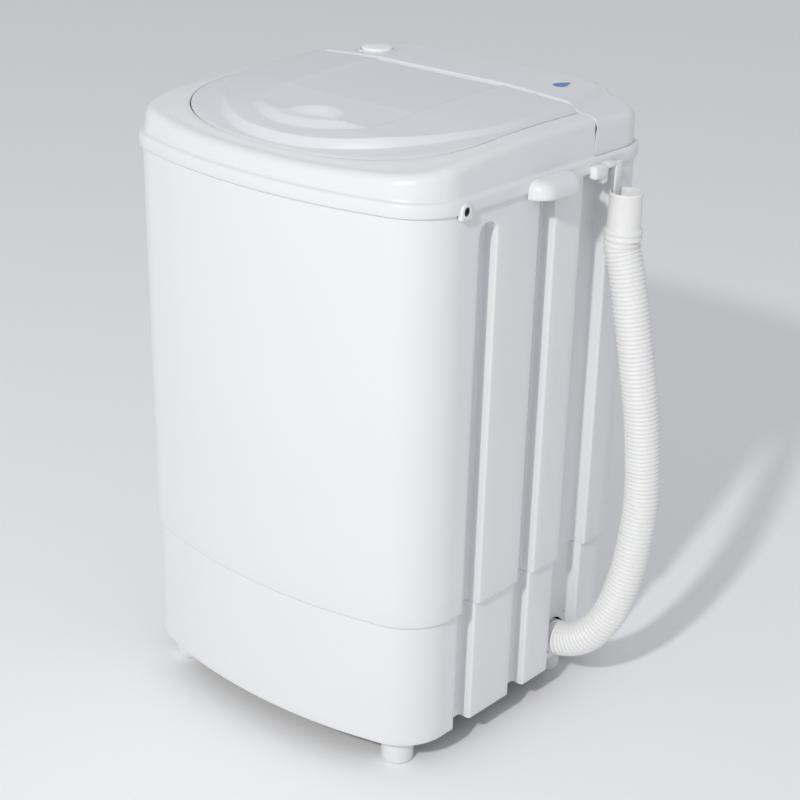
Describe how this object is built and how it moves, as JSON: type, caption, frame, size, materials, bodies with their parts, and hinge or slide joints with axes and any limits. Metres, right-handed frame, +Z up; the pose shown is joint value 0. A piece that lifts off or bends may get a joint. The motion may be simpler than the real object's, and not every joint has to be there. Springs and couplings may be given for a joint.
{
  "type": "top load washing machine",
  "caption": "Small white plastic top load washing machine with a hinged D-shaped lid, timer knob, side handles, grooved sides and a corrugated drain hose clipped upright at the side.",
  "frame": {"origin": "on the floor, under the middle of the cabinet's width and depth, hose left out", "axes": "+X to the machine's right as its front is faced, +Y from the front to the back, +Z up"},
  "size_m": [0.48, 0.372, 0.6274],
  "materials": {
    "white_plastic": "moulded, slightly glossy",
    "lid_plastic": "moulded, slightly glossy",
    "hose_plastic": "satin",
    "tub_plastic": "smooth",
    "pulsator_plastic": "smooth",
    "dark_plastic": "fine grain",
    "black_rubber": "matt",
    "grey_rubber": "matt",
    "zinc_steel": "zinc plated",
    "shaft_steel": "ground",
    "aluminium_cast": "cast",
    "bronze": "sintered",
    "motor_steel": "stove enamel"
  },
  "bodies": {
    "cabinet": {"base_skirt": "white_plastic", "bottom_cover": "dark_plastic", "foot_front_left": "white_plastic", "foot_front_right": "white_plastic", "foot_back_left": "white_plastic", "foot_back_right": "white_plastic", "foot_screws": "zinc_steel", "base_screws": "zinc_steel", "body_shell": "white_plastic", "cabinet_screws": "zinc_steel", "top_frame": "white_plastic", "frame_screws": "zinc_steel", "carry_handle_left": "white_plastic", "carry_handle_right": "white_plastic", "control_panel": "white_plastic", "panel_screws": "zinc_steel", "lid_bumpers": "grey_rubber", "timer_body": "dark_plastic", "timer_screws": "zinc_steel", "wash_tub": "tub_plastic", "tub_screws": "zinc_steel", "drain_strainer": "tub_plastic", "drain_elbow": "dark_plastic", "hose_clamp": "zinc_steel", "drain_hose": "hose_plastic", "hose_cuff": "hose_plastic", "hose_clip": "hose_plastic", "bearing_housing": "aluminium_cast", "upper_bearing": "bronze", "lower_bearing": "bronze", "shaft_seal": "black_rubber", "housing_bolts": "zinc_steel", "drive_belt": "black_rubber", "motor": "motor_steel", "motor_plate": "motor_steel", "motor_bolts": "zinc_steel", "motor_mounts": "black_rubber", "mount_screws": "zinc_steel", "capacitor": "aluminium_cast", "capacitor_clamp": "motor_steel", "mains_bush": "black_rubber"},
    "lid": {"lid": "lid_plastic", "lid_hinge_pins": "shaft_steel"},
    "timer_dial": {"timer_knob": "white_plastic", "timer_shaft": "shaft_steel"},
    "pulsator": {"pulsator": "pulsator_plastic", "pulsator_screw": "zinc_steel", "drive_shaft": "shaft_steel", "driven_pulley": "dark_plastic", "pulley_nut": "zinc_steel"},
    "motor_rotor": {"motor_shaft": "shaft_steel", "motor_pulley": "shaft_steel"}
  },
  "joints": [
    {"name": "lid_hinge", "type": "hinge", "parent": "cabinet", "child": "lid", "pos_m": [0, 0.079, 0.615], "axis": [-1, 0, 0], "range_deg": [0, 95]},
    {"name": "timer_turn", "type": "hinge", "parent": "cabinet", "child": "timer_dial", "pos_m": [-0.11, 0.118, 0.62], "axis": [0, 0, -1], "range_deg": [0, 300]},
    {"name": "pulsator_spin", "type": "hinge", "parent": "cabinet", "child": "pulsator", "pos_m": [0, -0.026, 0.2], "axis": [0, 0, 1], "continuous": true},
    {"name": "motor_spin", "type": "hinge", "parent": "cabinet", "child": "motor_rotor", "pos_m": [-0.088, 0.062, 0.14], "axis": [0, 0, 1], "continuous": true}
  ],
  "couplings": [
    {"joint": "motor_spin", "follows": "pulsator_spin", "ratio": 5}
  ]
}
